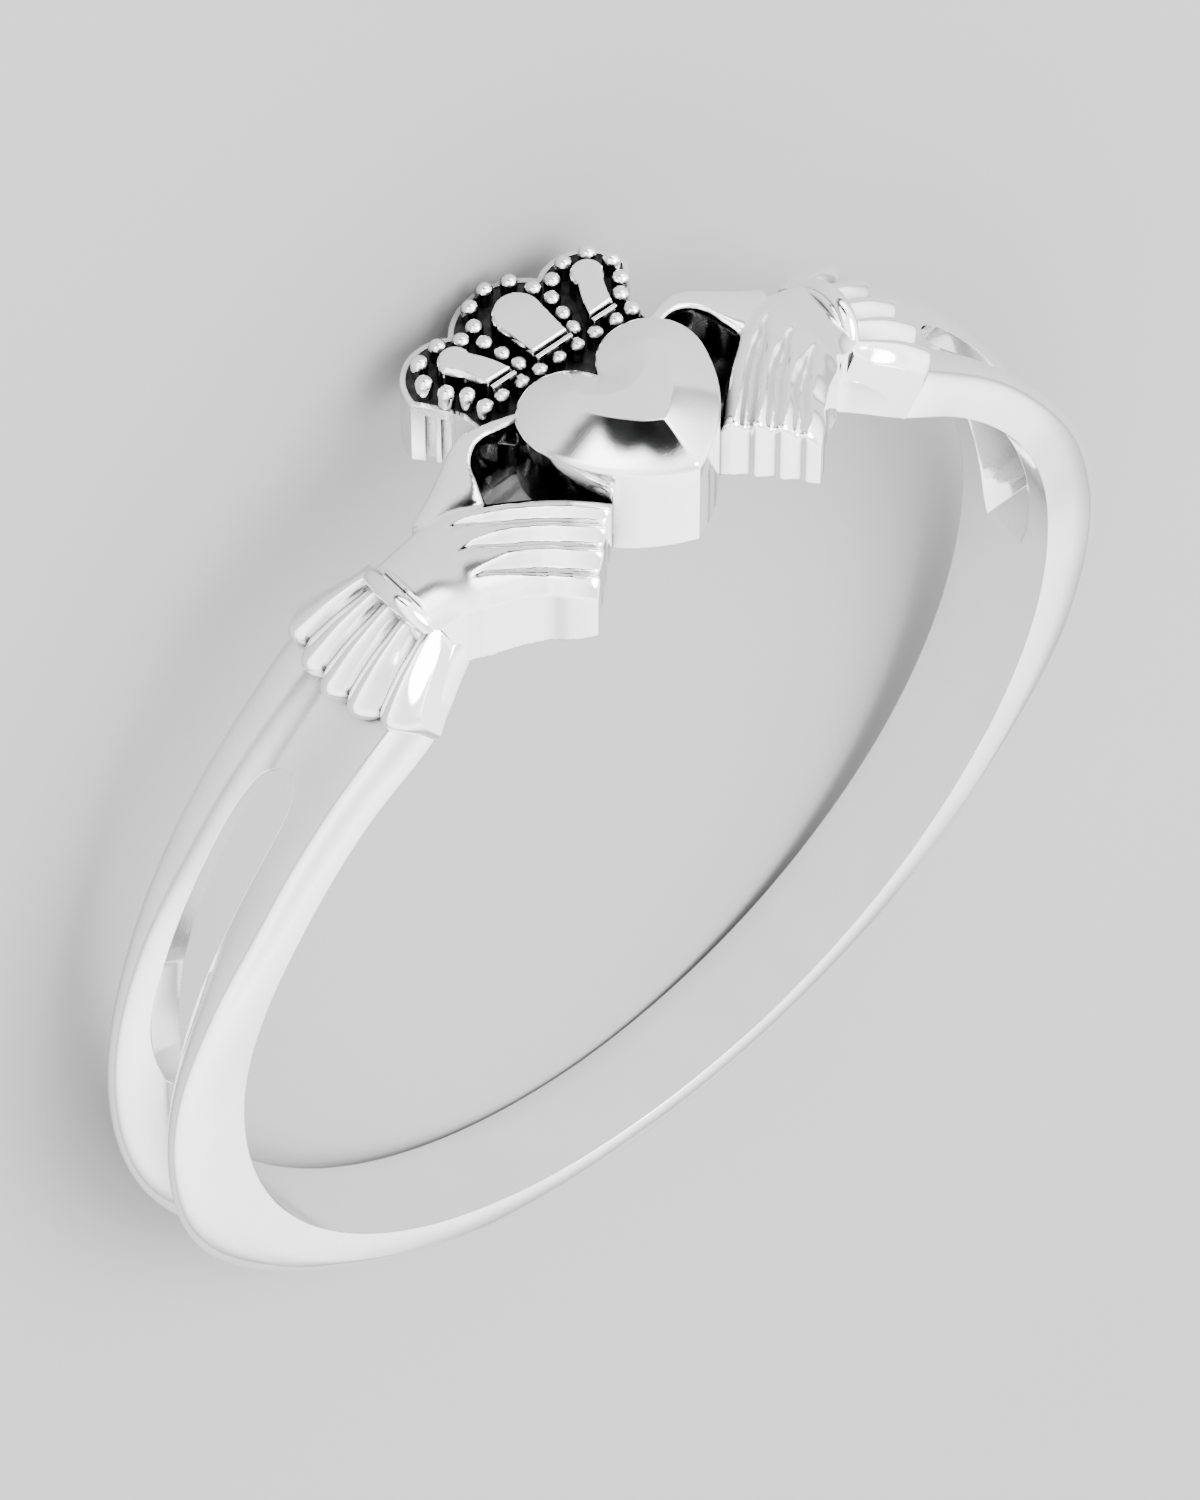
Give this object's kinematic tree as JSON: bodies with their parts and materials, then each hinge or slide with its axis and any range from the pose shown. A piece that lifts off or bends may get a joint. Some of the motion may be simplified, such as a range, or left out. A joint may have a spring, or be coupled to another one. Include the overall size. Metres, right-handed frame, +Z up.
{
  "type": "claddagh ring",
  "caption": "Polished cast finger ring with two hands holding a domed heart under a beaded crown, on a band split by a slot in each shoulder.",
  "frame": {"origin": "centre of the finger bore", "axes": "-Y from the bore towards the head, +X across the head, +Z up from the surface that the ring lies on, with the heart's tip uppermost and the bore's axis leaning 8.1 degrees from +Z towards +Y"},
  "size_m": [0.02, 0.0201, 0.0057],
  "materials": {
    "silver": "mirror polish, darkened in the crown's sunk floor"
  },
  "bodies": {
    "root": {"ring": "silver"}
  },
  "joints": []
}
